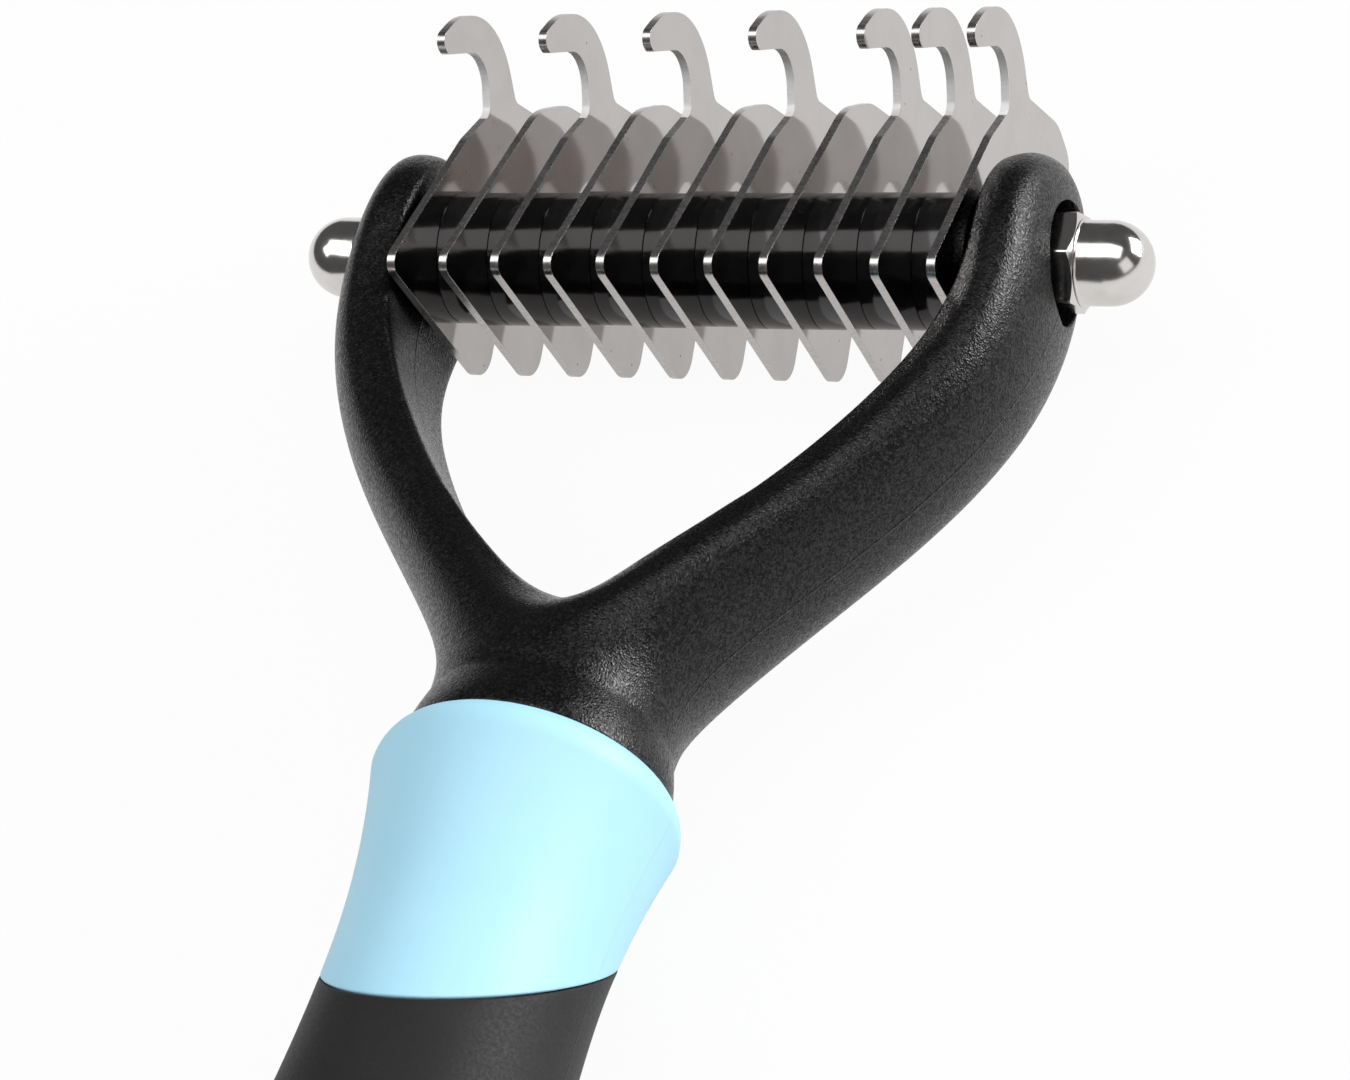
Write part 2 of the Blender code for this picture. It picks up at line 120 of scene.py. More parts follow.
# Blade corners: towards the head, up, rounding radius
BACK_OUTLINE = (
    (-0.0109, 0.0112, 0.0013), (-0.0056, -0.0115, 0.0029), (0.0163, -0.0039, 0.0042),
    (0.0179, -0.0130, 0.0020), (0.0230, -0.0117, 0.0026), (0.0227, -0.0062, 0.0060),
)
HOOK_OUTLINE = (
    (0.0182, 0.0017, 0.0013), (0.0214, 0.0097, 0.0086), (0.0155, 0.0156, 0.0084), (0.0108, 0.0172, 0.0010),
    (0.0111, 0.0150, 0.0010), (0.0172, 0.0093, 0.0036), (0.0134, 0.0050, 0.0013), (0.0083, 0.0070, 0.0060),
)
SHORT_OUTLINE = ((0.0183, 0.0012, 0.0080), (0.0137, 0.0052, 0.0085))

# The ground part of a hook's inner edge, where a near-white painted sheen goes: reach towards the head and
# up, most turn to the head
GROUND_SHEEN_ALONG = (0.0112, 0.0170)
GROUND_SHEEN_UP = (0.0040, 0.0152)
GROUND_SHEEN_FACING = 0.45

# A blade's face is flat where its normal runs along the axle by more than this
FLAT_FACING = 0.98

# Each spacer sits a little off the axle's middle: towards the head, up
SPACER_SHIFTS = (
    (0.00005, 0.00010), (-0.00008, 0.00002), (0.00004, -0.00009), (0.00009, 0.00006), (-0.00005, -0.00004),
    (0.00007, 0.00009), (-0.00009, 0.00005), (0.00003, -0.00008), (0.00008, -0.00003), (-0.00004, 0.00008),
)


def add(tree, kind, **settings):
    """A new shader node with the given properties and input values."""
    node = tree.nodes.new(kind)
    for key, value in settings.items():
        name = key.replace("_", " ")
        if name in node.inputs:
            node.inputs[name].default_value = value
        else:
            setattr(node, key, value)
    return node


def new_material(name, **settings):
    """A material with a Principled shader: (material, tree, shader)."""
    material = bpy.data.materials.new(name)
    material.use_nodes = True
    tree = material.node_tree
    shader = tree.nodes["Principled BSDF"]
    for key, value in settings.items():
        shader.inputs[key.replace("_", " ")].default_value = value
    return material, tree, shader


def place(tree, stretch=(1.0, 1.0, 1.0)):
    """The piece's own coordinates in metres, stretched along its axes."""
    source = add(tree, "ShaderNodeTexCoord")
    mapping = add(tree, "ShaderNodeMapping")
    mapping.inputs["Scale"].default_value = stretch
    tree.links.new(source.outputs["Object"], mapping.inputs["Vector"])
    return mapping.outputs["Vector"]


def noise(tree, where, scale, detail=3.0, rough=0.55):
    node = add(tree, "ShaderNodeTexNoise", Scale=scale, Detail=detail, Roughness=rough)
    tree.links.new(where, node.inputs["Vector"])
    return node.outputs["Fac"]


def spread(tree, value, low, high, first, last):
    """value between low and high, as a number between first and last."""
    node = add(tree, "ShaderNodeMapRange", From_Min=low, From_Max=high, To_Min=first, To_Max=last)
    tree.links.new(value, node.inputs["Value"])
    return node.outputs["Result"]


def colours(tree, value, *stops):
    """value as a colour: stops are (position, (r, g, b))."""
    ramp = add(tree, "ShaderNodeValToRGB")
    elements = ramp.color_ramp.elements
    while len(elements) < len(stops):
        elements.new(0.5)
    for element, (position, colour) in zip(elements, stops):
        element.position = position
        element.color = (*colour, 1.0)
    tree.links.new(value, ramp.inputs["Fac"])
    return ramp.outputs["Color"]


def math_node(tree, operation, first, second=None):
    node = add(tree, "ShaderNodeMath", operation=operation)
    for socket, value in zip(node.inputs, (first, second)):
        if value is None:
            continue
        if isinstance(value, (int, float)):
            socket.default_value = value
        else:
            tree.links.new(value, socket)
    return node.outputs["Value"]


def bump(tree, shader, height, strength, distance, before=None):
    node = add(tree, "ShaderNodeBump", Strength=strength, Distance=distance)
    tree.links.new(height, node.inputs["Height"])
    if before:
        tree.links.new(before, node.inputs["Normal"])
    tree.links.new(node.outputs["Normal"], shader.inputs["Normal"])
    return node.outputs["Normal"]


def mould_line(tree, width):
    """1 on the plane through the axle where the halves of the mould met, falling to 0 at width from it."""
    source = add(tree, "ShaderNodeTexCoord")
    split = add(tree, "ShaderNodeSeparateXYZ")
    tree.links.new(source.outputs["Object"], split.inputs["Vector"])
    gap = math_node(tree, "ABSOLUTE", math_node(tree, "SUBTRACT", split.outputs["Z"], AXLE.z))
    return spread(tree, gap, 0.0, width, 1.0, 0.0)


def steel_material():
    material, tree, shader = new_material("polished_steel", Metallic=1.0)
    where = place(tree)
    smear = noise(tree, where, 160.0, 5.0, 0.6)
    tone = colours(tree, smear, (0.30, (0.455, 0.430, 0.420)), (0.55, (0.490, 0.465, 0.455)),
                   (0.8, (0.505, 0.482, 0.472)))
    specks = add(tree, "ShaderNodeTexVoronoi", Scale=420.0)
    tree.links.new(where, specks.inputs["Vector"])
    dots = spread(tree, specks.outputs["Distance"], 0.035, 0.06, 0.0, 1.0)
    mix = add(tree, "ShaderNodeMix", data_type="RGBA")
    tree.links.new(dots, mix.inputs["Factor"])
    mix.inputs["A"].default_value = (0.16, 0.15, 0.145, 1.0)
    tree.links.new(tone, mix.inputs["B"])
    tree.links.new(mix.outputs["Result"], shader.inputs["Base Color"])
    tree.links.new(spread(tree, smear, 0.35, 0.75, 0.045, 0.10), shader.inputs["Roughness"])
    scratches = noise(tree, place(tree, (1.0, 0.06, 1.0)), 9000.0, 2.0)
    bump(tree, shader, scratches, 0.012, 0.00004)
    return material


def edge_material():
    """The blanked and tumbled edge of a blade: the same steel, a little rough and streaked across."""
    material, tree, shader = new_material("blade_edge", Metallic=1.0)
    where = place(tree)
    grit = noise(tree, place(tree, (0.35, 1.0, 1.0)), 5200.0, 3.0, 0.6)
    tree.links.new(colours(tree, grit, (0.3, (0.42, 0.402, 0.392)), (0.7, (0.53, 0.508, 0.496))),
                   shader.inputs["Base Color"])
    wear = noise(tree, where, 1500.0)
    tree.links.new(spread(tree, wear, 0.3, 0.7, 0.22, 0.34), shader.inputs["Roughness"])
    bump(tree, shader, grit, 0.05, 0.00004)
    return material


def ground_sheen_material():
    """The ground inner edge of a hook: fine cross scratches that scatter the light, under a near-white
    colour on barely metallic steel that is a painted sheen.
    """
    material, tree, shader = new_material("ground_edge_painted_sheen", Metallic=0.1)
    where = place(tree)
    lines = noise(tree, place(tree, (0.2, 1.0, 1.0)), 7000.0, 2.0)
    # A near-white colour on barely metallic steel: painted sheen standing in for the edge's bright
    # reflection
    tree.links.new(colours(tree, lines, (0.3, (0.80, 0.785, 0.775)), (0.7, (0.90, 0.885, 0.875))),
                   shader.inputs["Base Color"])
    wear = noise(tree, where, 1500.0)
    tree.links.new(spread(tree, wear, 0.3, 0.7, 0.42, 0.55), shader.inputs["Roughness"])
    bump(tree, shader, lines, 0.10, 0.00004)
    return material


def nut_material():
    material, tree, shader = new_material("plated_nut", Metallic=1.0)
    where = place(tree)
    cloud = noise(tree, where, 300.0, 4.0)
    tone = colours(tree, cloud, (0.3, (0.63, 0.605, 0.58)), (0.7, (0.73, 0.71, 0.69)))
    tree.links.new(tone, shader.inputs["Base Color"])
    tree.links.new(spread(tree, cloud, 0.35, 0.7, 0.13, 0.21), shader.inputs["Roughness"])
    bump(tree, shader, noise(tree, where, 900.0, 2.0), 0.03, 0.0001)
    return material


def axle_material():
    material, tree, shader = new_material("threaded_rod", Metallic=1.0)
    where = place(tree)
    wave = add(tree, "ShaderNodeTexWave", wave_type="BANDS", bands_direction="X", Scale=200.0)
    tree.links.new(where, wave.inputs["Vector"])
    # Darker colour in the thread's grooves, where the same bands sink the bump: painted shade
    tree.links.new(colours(tree, wave.outputs["Fac"], (0.0, (0.30, 0.29, 0.28)), (1.0, (0.56, 0.55, 0.53))),
                   shader.inputs["Base Color"])
    tree.links.new(spread(tree, noise(tree, where, 800.0), 0.3, 0.7, 0.25, 0.4), shader.inputs["Roughness"])
    bump(tree, shader, wave.outputs["Fac"], 0.6, 0.0003)
    return material


def spacer_material():
    material, tree, shader = new_material("gloss_black", IOR=1.62)
    where = place(tree)
    cloud = noise(tree, where, 700.0, 4.0)
    tree.links.new(colours(tree, cloud, (0.3, (0.004, 0.004, 0.0045)), (0.75, (0.009, 0.009, 0.010))),
                   shader.inputs["Base Color"])
    tree.links.new(spread(tree, cloud, 0.3, 0.75, 0.10, 0.18), shader.inputs["Roughness"])
    rings = noise(tree, place(tree, (1.0, 0.05, 0.05)), 2500.0, 2.0)
    bump(tree, shader, rings, 0.04, 0.00006)
    return material


def fork_material():
    material, tree, shader = new_material("grained_black", IOR=1.36)
    where = place(tree)
    broad = noise(tree, where, 120.0, 3.0)
    pits = add(tree, "ShaderNodeTexVoronoi", Scale=5600.0)
    tree.links.new(where, pits.inputs["Vector"])
    chance = add(tree, "ShaderNodeSeparateColor")
    tree.links.new(pits.outputs["Color"], chance.inputs["Color"])
    tree.links.new(colours(tree, broad, (0.3, (0.0024, 0.0024, 0.0026)), (0.75, (0.0038, 0.0038, 0.0041))),
                   shader.inputs["Base Color"])
    tree.links.new(spread(tree, chance.outputs["Red"], 0.0, 1.0, 0.14, 0.46), shader.inputs["Roughness"])
    tree.links.new(spread(tree, chance.outputs["Green"], 0.0, 1.0, 1.24, 1.52), shader.inputs["IOR"])
    line = bump(tree, shader, mould_line(tree, 0.00016), 0.8, 0.00010)
    bump(tree, shader, pits.outputs["Distance"], 0.40, 0.00008, line)
    return material


def collar_material():
    material, tree, shader = new_material("sky_blue", IOR=1.47)
    where = place(tree)
    cloud = noise(tree, where, 90.0, 3.0)
    tree.links.new(colours(tree, cloud, (0.3, (0.430, 0.775, 0.955)), (0.7, (0.455, 0.795, 0.965))),
                   shader.inputs["Base Color"])
    skin = noise(tree, where, 2600.0, 3.0)
    tree.links.new(spread(tree, skin, 0.3, 0.7, 0.42, 0.54), shader.inputs["Roughness"])
    line = bump(tree, shader, mould_line(tree, 0.00014), 0.5, 0.00008)
    bump(tree, shader, skin, 0.06, 0.00006, line)
    return material


def grip_material():
    material, tree, shader = new_material("soft_black", IOR=1.4, Sheen_Weight=0.04, Sheen_Roughness=0.5)
    where = place(tree)
    cloud = noise(tree, where, 200.0, 4.0)
    tree.links.new(colours(tree, cloud, (0.3, (0.0080, 0.0080, 0.0085)), (0.75, (0.0125, 0.0125, 0.0130))),
                   shader.inputs["Base Color"])
    skin = noise(tree, where, 3600.0, 3.0)
    tree.links.new(spread(tree, skin, 0.3, 0.7, 0.52, 0.68), shader.inputs["Roughness"])
    line = bump(tree, shader, mould_line(tree, 0.00014), 0.5, 0.00008)
    bump(tree, shader, skin, 0.22, 0.00008, line)
    return material


def add_piece(name, mesh, material, body, slot, *nodes):
    """A finished piece, in place in the row frame, that stands for the named CAD nodes."""
    piece = bpy.data.objects.new(name, mesh)
    mesh.materials.clear()
    mesh.materials.append(material)
    bpy.context.scene.collection.objects.link(piece)
    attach(piece, body)
    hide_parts(*nodes)
    return piece


def helper(name, mesh):
    thing = bpy.data.objects.new(name, mesh)
    bpy.context.scene.collection.objects.link(thing)
    return thing


def evaluated_mesh(thing, name):
    """The object's shape with its modifiers, as a mesh in the row frame; the object is removed."""
    bpy.context.view_layer.update()
    source = thing.evaluated_get(bpy.context.evaluated_depsgraph_get())
    mesh = bpy.data.meshes.new_from_object(source)
    mesh.name = name
    mesh.transform(thing.matrix_world)
    bpy.data.objects.remove(thing, do_unlink=True)
    return mesh


def shade(mesh, degrees=32.0):
    mesh.shade_smooth()
    mesh.set_sharp_from_angle(angle=math.radians(degrees))
    return mesh


def skin(name, rings, closed):
    """A surface over rings with equal counts of points, where one-point rings are poles.

    closed joins the last ring to the first."""
    work = bmesh.new()
    made = [[work.verts.new(point) for point in ring] for ring in rings]
    pairs = list(zip(made, made[1:]))
    if closed:
        pairs.append((made[-1], made[0]))
    for first, second in pairs:
        count = max(len(first), len(second))
        if count == 1:
            continue
        for index in range(count):
            after = (index + 1) % count
            corners = [first[index % len(first)], first[after % len(first)],
                       second[after % len(second)], second[index % len(second)]]
            corners = [corner for spot, corner in enumerate(corners) if corner not in corners[:spot]]
            work.faces.new(corners)
    bmesh.ops.recalc_face_normals(work, faces=work.faces)
    mesh = bpy.data.meshes.new(name)
    work.to_mesh(mesh)
    work.free()
    return mesh


def turned(name, profile, axis, steps=96):
    """A solid of revolution about X or Y through the axle's middle, from (radius, position) points."""
    rings = []
    for radius, position in profile:
        ring = []
        for index in range(steps if radius > 0 else 1):
            turn = index * math.tau / steps
            across, up = radius * math.sin(turn), radius * math.cos(turn)
            spot = (position, across, up) if axis == "X" else (across, position, up)
            ring.append(AXLE + Vector(spot))
        rings.append(ring)
    return skin(name, rings, closed=min(profile[0][0], profile[-1][0]) > 0)


def arc(centre, radius, start, end, count):
    """(radius, position) points of a quarter arc, angles in degrees from the radial direction."""
    points = []
    for index in range(count + 1):
        turn = math.radians(start + (end - start) * index / count)
        points.append((centre[0] + radius * math.cos(turn), centre[1] + radius * math.sin(turn)))
    return points


def cut(thing, cutter, operation="DIFFERENCE"):
    boolean = thing.modifiers.new(operation.lower(), "BOOLEAN")
    boolean.operation = operation
    boolean.solver = "EXACT"
    boolean.object = cutter


def rounded(corners, step):
    """Points of a closed outline whose corners, (along, up, radius), are rounded by arcs."""
    points = []
    for index, (along, up, radius) in enumerate(corners):
        corner = Vector((along, up))
        before = (Vector(corners[index - 1][:2]) - corner).normalized()
        after = (Vector(corners[(index + 1) % len(corners)][:2]) - corner).normalized()
        half = before.angle(after) / 2
        centre = corner + (before + after).normalized() * (radius / math.sin(half))
        start = corner + before * (radius / math.tan(half)) - centre
        sweep = start.angle_signed(corner + after * (radius / math.tan(half)) - centre)
        count = max(3, math.ceil(abs(sweep) / step))
        for number in range(count + 1):
            points.append(centre + Matrix.Rotation(-sweep * number / count, 2) @ start)
    return points


def blade_mesh(name, outline, offset):
    """A flat blade with rounded edges at a place along the axle."""
    curve = bpy.data.curves.new(name, "CURVE")
    curve.dimensions = "2D"
    curve.fill_mode = "BOTH"
    curve.extrude = BLADE_THICKNESS / 2
    hole = [(HOLE_RADIUS * math.cos(index * math.tau / 48), HOLE_RADIUS * math.sin(index * math.tau / 48))
            for index in range(48)]
    for points in (outline, hole):
        spline = curve.splines.new("POLY")
        spline.points.add(len(points) - 1)
        spline.use_cyclic_u = True
        for spot, (along, up) in zip(spline.points, points):
            spot.co = (along * BLADE_TRIM, up * BLADE_TRIM, 0.0, 1.0)
    flat = evaluated_mesh(helper(name, curve), name)
    work = bmesh.new()
    work.from_mesh(flat)
    bmesh.ops.remove_doubles(work, verts=work.verts, dist=1e-7)
    bmesh.ops.dissolve_limit(work, angle_limit=math.radians(1), verts=work.verts, edges=work.edges)
    bmesh.ops.recalc_face_normals(work, faces=work.faces)
    work.to_mesh(flat)
    work.free()
    turn = Matrix(((0.0, 0.0, 1.0, 0.0), (1.0, 0.0, 0.0, 0.0), (0.0, 1.0, 0.0, 0.0), (0.0, 0.0, 0.0, 1.0)))
    flat.transform(Matrix.Translation(AXLE + Vector((offset, 0.0, 0.0))) @ turn)
    flat.shade_smooth()
    thing = helper(name, flat)
    bevel = thing.modifiers.new("edge", "BEVEL")
    bevel.width = BLADE_EDGE
    bevel.segments = 4
    bevel.limit_method = "ANGLE"
    bevel.angle_limit = math.radians(60)
    bevel.harden_normals = True
    return evaluated_mesh(thing, name)


def make_blades(material, edge, ground_sheen):
    step = math.radians(5)
    outlines = {
        "h": rounded(BACK_OUTLINE + HOOK_OUTLINE, step),
        "s": rounded(BACK_OUTLINE + SHORT_OUTLINE, step),
    }
    words = {"h": "hooked_blade", "s": "short_blade"}
    for index, kind in enumerate(ROW_PATTERN):
        node = f"{words[kind]}_{index + 1:02d}"
        offset = (index - (len(ROW_PATTERN) - 1) / 2) * BLADE_PITCH
        mesh = blade_mesh(node + "_polished", outlines[kind], offset)
        piece = add_piece(node + "_polished", mesh, material, "blade_pack", "blade_steel", node)
        piece.data.materials.append(edge)
        piece.data.materials.append(ground_sheen)
        # Edge faces on a hook's ground inner edge get slot 2, the painted sheen; other edge faces get slot
        # 1
        for face in piece.data.polygons:
            spot = piece.matrix_world @ face.center - AXLE
            inside = GROUND_SHEEN_ALONG[0] < spot.y < GROUND_SHEEN_ALONG[1] and GROUND_SHEEN_UP[0] < spot.z < GROUND_SHEEN_UP[1]
            inner = kind == "h" and inside and face.normal.y < GROUND_SHEEN_FACING
            if abs(face.normal.x) <= FLAT_FACING:
                face.material_index = 2 if inner else 1


def make_spacers(material):
    edge = SPACER_EDGE
    profile = [(HOLE_RADIUS, SPACER_HALF)]
    profile += arc((SPACER_RADIUS - edge, SPACER_HALF - edge), edge, 90, 0, 4)
    profile += arc((SPACER_RADIUS - edge, -SPACER_HALF + edge), edge, 0, -90, 4)
    profile.append((HOLE_RADIUS, -SPACER_HALF))
    for index, (along, up) in enumerate(SPACER_SHIFTS):
        node = f"spacer_{index + 1:02d}"
        mesh = turned(node + "_moulded", profile, "X")
        offset = (index - (len(SPACER_SHIFTS) - 1) / 2) * BLADE_PITCH
        mesh.transform(Matrix.Translation((offset, along, up)))
        add_piece(node + "_moulded", shade(mesh), material, "blade_pack", "spacer_plastic", node)


def make_nut(name, side, material):
    """A domed nut: a turned blank trimmed by a hexagonal prism with rounded corners."""
    corner = NUT_FLATS / math.sqrt(3)
    shoulder = NUT_FLATS / 2 - NUT_CHAMFER / 2
    straight = NUT_HEIGHT - NUT_DOME_RADIUS
    profile = [(0.0, NUT_HEIGHT)] + arc((0.0, straight), NUT_DOME_RADIUS, 90, 0, 20)[1:]
    fillet = NUT_FILLET
    profile += arc((NUT_DOME_RADIUS + fillet, NUT_HEX_HEIGHT + fillet), fillet, 180, 270, 4)
    profile += [(shoulder, NUT_HEX_HEIGHT), (corner, NUT_HEX_HEIGHT - NUT_CHAMFER)]
    profile += [(corner, NUT_CHAMFER), (shoulder, 0.0)]
    profile += [(HOLE_RADIUS, 0.0), (HOLE_RADIUS, NUT_THREAD_DEPTH), (0.0, NUT_THREAD_DEPTH)]
    blank = helper(name, turned(name, profile, "X", 96))
    blank.data.transform(Matrix.Translation(-AXLE))
    work = bmesh.new()
    bmesh.ops.create_cone(work, cap_ends=True, segments=6, radius1=corner, radius2=corner,
                          depth=4 * NUT_HEIGHT)
    sides = [edge for edge in work.edges if abs(edge.verts[0].co.z - edge.verts[1].co.z) > NUT_HEIGHT]
    bmesh.ops.bevel(work, geom=sides, offset=NUT_CORNER_ROUNDING, segments=4, affect="EDGES", profile=0.5)
    bmesh.ops.rotate(work, verts=work.verts, matrix=Matrix.Rotation(math.pi / 2, 3, "Y"))
    mesh = bpy.data.meshes.new(name + "_prism")
    work.to_mesh(mesh)
    work.free()
    prism = helper(name + "_prism", mesh)
    cut(blank, prism, "INTERSECT")
    mesh = evaluated_mesh(blank, name)
    bpy.data.objects.remove(prism, do_unlink=True)
    turn = Matrix.Rotation(math.pi, 4, "Z") if side < 0 else Matrix.Identity(4)
    mesh.transform(Matrix.Translation(AXLE + Vector((side * NUT_FACE, 0.0, 0.0))) @ turn)
    word = "left" if side < 0 else "right"
    add_piece(name, shade(mesh, 25), material, word + "_nut", "nut_chrome", "cap_nut_" + word)


def handle_radius(position):
    """The handle's outer radius at a distance from the axle."""
    rings = (
        (COLLAR_START, COLLAR_RIM_RADIUS),
        (COLLAR_START + COLLAR_BULGE_DROP, COLLAR_BULGE_RADIUS),
        (WAIST_POSITION, WAIST_RADIUS),
        (SWELL_POSITION, SWELL_RADIUS),
        (HANDLE_END - BUTT_ROUNDING, BUTT_RADIUS),
    )
    for (start, first), (end, last) in zip(rings, rings[1:]):
        if position <= end:
            share = max(0.0, (position - start) / (end - start))
            ease = (1 - math.cos(math.pi * share)) / 2
            if start == COLLAR_START:
                ease = math.sqrt(1 - (1 - share) ** 2)
            if end == WAIST_POSITION:
                ease = 1 - (1 - share) ** 2
            if end == HANDLE_END - BUTT_ROUNDING:
                ease = share ** 2
            return first + (last - first) * ease
    share = min(1.0, (position - rings[-1][0]) / BUTT_ROUNDING)
    return BUTT_RADIUS - BUTT_ROUNDING * (1 - math.sqrt(max(0.0, 1 - share ** 2)))


def split_position(turn):
    """Where the slanted joint of the two grips meets the handle's outside, at an angle from the top."""
    position = SPLIT_MIDDLE
    for _ in range(8):
        position = SPLIT_MIDDLE + SPLIT_SLOPE * handle_radius(position) * math.cos(turn)
    return position


def handle_point(turn, position, radius):
    return AXLE + Vector((radius * math.sin(turn), -position, radius * math.cos(turn)))


def sleeve(name, start, end, count, edges, steps=160):
    """A sleeve over the handle's profile between two positions that depend on the angle.

    edges are (rounding at the start, rounding at the end)."""
    turns = [index * math.tau / steps for index in range(steps)]
    rings = []
    arc_count = 5

    def ring(place_of, inset):
        rings.append([handle_point(turn, place_of(turn), handle_radius(place_of(turn)) - inset)
                      for turn in turns])

    def inner(place_of):
        rings.append([handle_point(turn, place_of(turn), BORE_RADIUS) for turn in turns])

    inner(start)
    first, last = edges
    for number in range(arc_count + 1):
        swing = math.pi / 2 * number / arc_count
        ring(lambda turn: start(turn) + first * (1 - math.cos(swing)), first * (1 - math.sin(swing)))
    for number in range(1, count):
        share = number / count
        ring(lambda turn: (start(turn) + first) + (end(turn) - last - start(turn) - first) * share, 0.0)
    for number in range(arc_count + 1):
        swing = math.pi / 2 * number / arc_count
        ring(lambda turn: end(turn) - last * (1 - math.sin(swing)), last * (1 - math.cos(swing)))
    inner(end)
    return skin(name, rings, closed=True)


def make_collar(material):
    mesh = sleeve("collar_grip_moulded", lambda turn: COLLAR_START + COLLAR_GAP,
                  lambda turn: split_position(turn) - SPLIT_GAP, 60, (0.0, SPLIT_EDGE))
    add_piece("collar_grip_moulded", shade(mesh, 40), material, "handle", "blue_grip", "collar_grip")


def make_rear_grip(material):
    """The rear sleeve with a rounded butt, flattened at its end and pierced by the hang hole."""
    steps = 160
    turns = [index * math.tau / steps for index in range(steps)]
    edge = SPLIT_EDGE
    rounding = HANDLE_END - BUTT_ROUNDING
    rings = [[handle_point(turn, split_position(turn) + SPLIT_GAP, BORE_RADIUS) for turn in turns]]
    for number in range(6):
        swing = math.pi / 2 * number / 5
        rings.append([handle_point(turn, split_position(turn) + SPLIT_GAP + edge * (1 - math.cos(swing)),
                                   handle_radius(split_position(turn)) - edge * (1 - math.sin(swing)))
                      for turn in turns])
    for number in range(1, 90):
        share = number / 90
        ring = []
        for turn in turns:
            begin = split_position(turn) + SPLIT_GAP + edge
            position = begin + (rounding - begin) * share
            ring.append(handle_point(turn, position, handle_radius(position)))
        rings.append(ring)
    for number in range(13):
        position = rounding + BUTT_ROUNDING * math.sin(math.pi / 2 * number / 12)
        rings.append([handle_point(turn, position, handle_radius(position)) for turn in turns])
    rings.append([handle_point(0.0, HANDLE_END, 0.0)])
    rings.append([handle_point(0.0, BORE_END, 0.0)])
    rings.append([handle_point(turn, BORE_END, BORE_RADIUS) for turn in turns])
    grip = helper("rear_grip_moulded", skin("rear_grip_moulded", rings, closed=True))
    cutters = []
    past = 0.03
    for side in (-1, 1):
        work = bmesh.new()
        bmesh.ops.create_cube(work, size=1.0)
        bmesh.ops.scale(work, verts=work.verts, vec=(past * 2, TAB_LENGTH + past, past))
        along = -HANDLE_END + TAB_LENGTH - (TAB_LENGTH + past) / 2
        middle = AXLE + Vector((0.0, along, side * (TAB_HALF + past / 2)))
        bmesh.ops.translate(work, verts=work.verts, vec=middle)
        mesh = bpy.data.meshes.new("land")
        work.to_mesh(mesh)
        work.free()
        cutters.append(helper("land", mesh))
    work = bmesh.new()
    bmesh.ops.create_cone(work, cap_ends=True, segments=64, radius1=HANG_HOLE_RADIUS,
                          radius2=HANG_HOLE_RADIUS, depth=past * 2)
    hole = AXLE + Vector((0.0, -HANDLE_END + HANG_HOLE_INSET, 0.0))
    bmesh.ops.translate(work, verts=work.verts, vec=hole)
    mesh = bpy.data.meshes.new("hang_hole")
    work.to_mesh(mesh)
    work.free()
    cutters.append(helper("hang_hole", mesh))
    for cutter in cutters:
        cut(grip, cutter)
    mesh = evaluated_mesh(grip, "rear_grip_moulded")
    for cutter in cutters:
        bpy.data.objects.remove(cutter, do_unlink=True)
    add_piece("rear_grip_moulded", shade(mesh, 30), material, "handle", "black_grip", "rear_grip")


def arm_section(ridge):
    """Corners of an arm's section as shares of its half thickness (outwards) and half depth (up)."""
    root = math.sqrt(0.5)
    outside = ((0.0, 1.0), (root, root), (1.0, 0.0), (root, -root), (0.0, -1.0))
    return outside + ((-INNER_CORNER, -0.84), (-0.74, 0.0), (-ridge, 0.84))


def arm_stations():
    """Sections of one arm from the neck to its end: middle, outward, half thickness, half depth, ridge."""
    lobe = ARM_LOBE
    half = ARM_HALF
    inner = INNER_CORNER
    return (
        ((ARM_CENTRE * 0.305, -CROTCH_DROP * 1.050), (0.70, -0.72), half * 1.26, lobe * 0.88, inner * 0.80),
        ((ARM_CENTRE * 0.530, -CROTCH_DROP * 0.862), (0.66, -0.75), half * 1.07, lobe * 0.80, inner * 0.80),
        ((ARM_CENTRE * 0.795, -CROTCH_DROP * 0.615), (0.86, -0.51), half * 1.10, lobe * 0.77, inner * 0.94),
        ((ARM_CENTRE * 0.972, -CROTCH_DROP * 0.365), (0.96, -0.28), half * 1.02, lobe * 0.80, inner),
        ((ARM_CENTRE * 1.010, -CROTCH_DROP * 0.150), (0.995, -0.10), half, lobe * 0.90, inner),
        ((ARM_CENTRE, 0.0), (1.0, 0.0), half, lobe, inner),
        ((ARM_CENTRE, lobe * 0.60), (1.0, 0.0), half * 0.93, lobe * 0.80, inner),
        ((ARM_CENTRE, lobe * 0.96), (1.0, 0.0), half * 0.60, lobe * 0.34, inner),
    )


